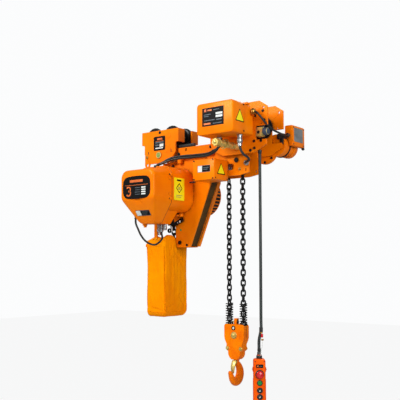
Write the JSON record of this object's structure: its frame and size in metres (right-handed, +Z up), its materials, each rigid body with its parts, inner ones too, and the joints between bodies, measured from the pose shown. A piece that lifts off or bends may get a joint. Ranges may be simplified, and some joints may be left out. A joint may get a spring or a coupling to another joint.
{
  "type": "electric chain hoist",
  "caption": "Low-headroom electric chain hoist: driven and push trolleys, suspension frame, slanted twin-plate arm, hoist body, chain bag, hook block on two falls and push-button pendant.",
  "frame": {"origin": "the middle of beam_clearance_face: the top face of the suspension frame at its left cross-member, in the track beam's web plane, 22 mm below the wheel treads and 382.5 mm left of the hook's centre line", "axes": "+X along the track beam from the push trolley towards the driven trolley, -Y towards the operator's side with the electric covers, +Z up"},
  "size_m": [0.984, 0.69, 1.79],
  "materials": {
    "orange_paint": "gloss paint on steel, lightly worn at the edges",
    "orange_casting": "orange paint over die-cast aluminium",
    "black_steel": "oiled, satin",
    "wheel_steel": "machined tread, dark hub",
    "zinc_yellow": "yellow zinc plated",
    "bright_steel": "machined",
    "black_rubber": "matt cable sheath",
    "blue_rubber": "matt buffer rubber",
    "chain_black": "black hardened chain",
    "bag_fabric": "coated woven polyester",
    "pendant_plastic": "moulded",
    "red_button": "gloss",
    "green_button": "gloss",
    "black_button": "matt"
  },
  "bodies": {
    "frame": {"suspension_frame": "orange_paint", "head_plate_front": "orange_paint", "head_plate_rear": "orange_paint", "chain_anchor_pin": "black_steel", "arm_plate_front": "orange_paint", "arm_plate_rear": "orange_paint", "arm_chain_guard": "black_steel", "arm_idler_pin": "black_steel", "gear_case": "orange_casting", "electric_cover": "orange_casting", "motor_housing": "orange_casting", "fan_cover": "orange_paint", "chain_guide": "black_steel", "junction_box": "orange_paint", "bag_hanger": "orange_paint", "chain_bag": "bag_fabric", "drive_plate_front": "orange_paint", "drive_plate_rear": "orange_paint", "load_shaft": "zinc_yellow", "end_buffer": "blue_rubber", "trolley_gearbox": "orange_casting", "trolley_motor": "orange_casting", "trolley_terminal_box": "orange_casting", "control_box_cover": "orange_casting", "control_box_base": "orange_casting", "power_cable": "black_rubber", "limit_cable": "black_rubber", "control_cable": "black_rubber"},
    "push_trolley": {"push_plate_front": "orange_paint", "push_plate_rear": "orange_paint", "push_trolley_shaft": "zinc_yellow"},
    "drive_wheel_front_left": {"drive_wheel_front_left": "wheel_steel"},
    "drive_wheel_front_right": {"drive_wheel_front_right": "wheel_steel"},
    "drive_wheel_rear_left": {"drive_wheel_rear_left": "wheel_steel"},
    "drive_wheel_rear_right": {"drive_wheel_rear_right": "wheel_steel"},
    "push_wheel_front_left": {"push_wheel_front_left": "wheel_steel"},
    "push_wheel_front_right": {"push_wheel_front_right": "wheel_steel"},
    "push_wheel_rear_left": {"push_wheel_rear_left": "wheel_steel"},
    "push_wheel_rear_right": {"push_wheel_rear_right": "wheel_steel"},
    "load_sheave": {"load_sheave": "bright_steel"},
    "motor_rotor": {"motor_rotor": "bright_steel"},
    "upper_idler": {"upper_idler": "bright_steel"},
    "arm_idler": {"arm_idler": "bright_steel"},
    "hook_block": {"block_half_front": "orange_paint", "block_half_rear": "orange_paint", "buffer_spring_left": "black_steel", "buffer_spring_right": "black_steel", "chain_fall_left": "chain_black", "chain_fall_right": "chain_black"},
    "block_sheave": {"block_sheave": "bright_steel"},
    "load_hook": {"load_hook": "orange_paint"},
    "hook_latch": {"hook_latch": "zinc_yellow"},
    "pendant": {"pendant_cable": "black_rubber", "pendant_housing": "pendant_plastic"},
    "emergency_stop_button": {"emergency_stop_button": "red_button"},
    "start_button": {"start_button": "green_button"},
    "up_button": {"up_button": "black_button"},
    "down_button": {"down_button": "black_button"},
    "left_button": {"left_button": "black_button"},
    "right_button": {"right_button": "black_button"}
  },
  "joints": [
    {"name": "push_trolley_yaw", "type": "hinge", "parent": "frame", "child": "push_trolley", "pos_m": [-0.1425, 0, -0.087], "axis": [0, 0, 1], "range_deg": [-3, 3]},
    {"name": "drive_wheel_front_left_roll", "type": "hinge", "parent": "frame", "child": "drive_wheel_front_left", "pos_m": [0.3905, 0, 0.084], "axis": [0, 1, 0], "continuous": true},
    {"name": "drive_wheel_front_right_roll", "type": "hinge", "parent": "frame", "child": "drive_wheel_front_right", "pos_m": [0.5345, 0, 0.084], "axis": [0, 1, 0], "continuous": true},
    {"name": "drive_wheel_rear_left_roll", "type": "hinge", "parent": "frame", "child": "drive_wheel_rear_left", "pos_m": [0.3905, 0, 0.084], "axis": [0, 1, 0], "continuous": true},
    {"name": "drive_wheel_rear_right_roll", "type": "hinge", "parent": "frame", "child": "drive_wheel_rear_right", "pos_m": [0.5345, 0, 0.084], "axis": [0, 1, 0], "continuous": true},
    {"name": "push_wheel_front_left_roll", "type": "hinge", "parent": "push_trolley", "child": "push_wheel_front_left", "pos_m": [-0.2085, 0, 0.084], "axis": [0, 1, 0], "continuous": true},
    {"name": "push_wheel_front_right_roll", "type": "hinge", "parent": "push_trolley", "child": "push_wheel_front_right", "pos_m": [-0.0645, 0, 0.084], "axis": [0, 1, 0], "continuous": true},
    {"name": "push_wheel_rear_left_roll", "type": "hinge", "parent": "push_trolley", "child": "push_wheel_rear_left", "pos_m": [-0.2085, 0, 0.084], "axis": [0, 1, 0], "continuous": true},
    {"name": "push_wheel_rear_right_roll", "type": "hinge", "parent": "push_trolley", "child": "push_wheel_rear_right", "pos_m": [-0.0645, 0, 0.084], "axis": [0, 1, 0], "continuous": true},
    {"name": "hook_lift", "type": "slide", "parent": "frame", "child": "hook_block", "axis": [0, 0, 1], "range_m": [-2.2, 0.73], "deforming": ["chain_fall_left", "chain_fall_right"]},
    {"name": "block_sheave_spin", "type": "hinge", "parent": "hook_block", "child": "block_sheave", "pos_m": [0.3825, 0, -1.138], "axis": [0, 1, 0], "range_deg": [-2530, 870]},
    {"name": "upper_idler_spin", "type": "hinge", "parent": "frame", "child": "upper_idler", "pos_m": [0.2875, 0, -0.143], "axis": [0, 1, 0], "range_deg": [-1920, 5610]},
    {"name": "arm_idler_spin", "type": "hinge", "parent": "frame", "child": "arm_idler", "pos_m": [-0.0105, 0, -0.59], "axis": [0, 1, 0], "range_deg": [-9700, 3320]},
    {"name": "load_sheave_spin", "type": "hinge", "parent": "frame", "child": "load_sheave", "pos_m": [-0.0535, 0, -0.278], "axis": [0, 1, 0], "range_deg": [-1920, 5610]},
    {"name": "motor_rotor_spin", "type": "hinge", "parent": "frame", "child": "motor_rotor", "pos_m": [-0.0535, 0, -0.278], "axis": [0, 1, 0], "continuous": true},
    {"name": "hook_swivel", "type": "hinge", "parent": "hook_block", "child": "load_hook", "pos_m": [0.3825, 0, -1.228], "axis": [0, 0, 1], "continuous": true},
    {"name": "latch_open", "type": "hinge", "parent": "load_hook", "child": "hook_latch", "pos_m": [0.3825, -0.02, -1.29], "axis": [1, 0, 0], "range_deg": [0, 30], "stiffness_Nm_per_rad": 0.05},
    {"name": "pendant_swing", "type": "hinge", "parent": "frame", "child": "pendant", "pos_m": [0.6005, -0.07, -0.09], "axis": [1, 0, 0], "range_deg": [-15, 15]},
    {"name": "emergency_stop_button_press", "type": "slide", "parent": "pendant", "child": "emergency_stop_button", "axis": [-0.6157, 0.788, 0], "range_m": [0, 0.006]},
    {"name": "start_button_press", "type": "slide", "parent": "pendant", "child": "start_button", "axis": [-0.6157, 0.788, 0], "range_m": [0, 0.005]},
    {"name": "up_button_press", "type": "slide", "parent": "pendant", "child": "up_button", "axis": [-0.6157, 0.788, 0], "range_m": [0, 0.005]},
    {"name": "down_button_press", "type": "slide", "parent": "pendant", "child": "down_button", "axis": [-0.6157, 0.788, 0], "range_m": [0, 0.005]},
    {"name": "left_button_press", "type": "slide", "parent": "pendant", "child": "left_button", "axis": [-0.6157, 0.788, 0], "range_m": [0, 0.005]},
    {"name": "right_button_press", "type": "slide", "parent": "pendant", "child": "right_button", "axis": [-0.6157, 0.788, 0], "range_m": [0, 0.005]}
  ],
  "couplings": [
    {"joint": "drive_wheel_front_right_roll", "follows": "drive_wheel_front_left_roll", "ratio": 1},
    {"joint": "drive_wheel_rear_left_roll", "follows": "drive_wheel_front_left_roll", "ratio": 1},
    {"joint": "drive_wheel_rear_right_roll", "follows": "drive_wheel_front_left_roll", "ratio": 1},
    {"joint": "push_wheel_front_left_roll", "follows": "drive_wheel_front_left_roll", "ratio": 1},
    {"joint": "push_wheel_front_right_roll", "follows": "drive_wheel_front_left_roll", "ratio": 1},
    {"joint": "push_wheel_rear_left_roll", "follows": "drive_wheel_front_left_roll", "ratio": 1},
    {"joint": "push_wheel_rear_right_roll", "follows": "drive_wheel_front_left_roll", "ratio": 1},
    {"joint": "block_sheave_spin", "follows": "hook_lift", "rad_per_m": 20},
    {"joint": "upper_idler_spin", "follows": "hook_lift", "rad_per_m": -44.44},
    {"joint": "arm_idler_spin", "follows": "hook_lift", "rad_per_m": 76.92},
    {"joint": "load_sheave_spin", "follows": "hook_lift", "rad_per_m": -44.44}
  ]
}
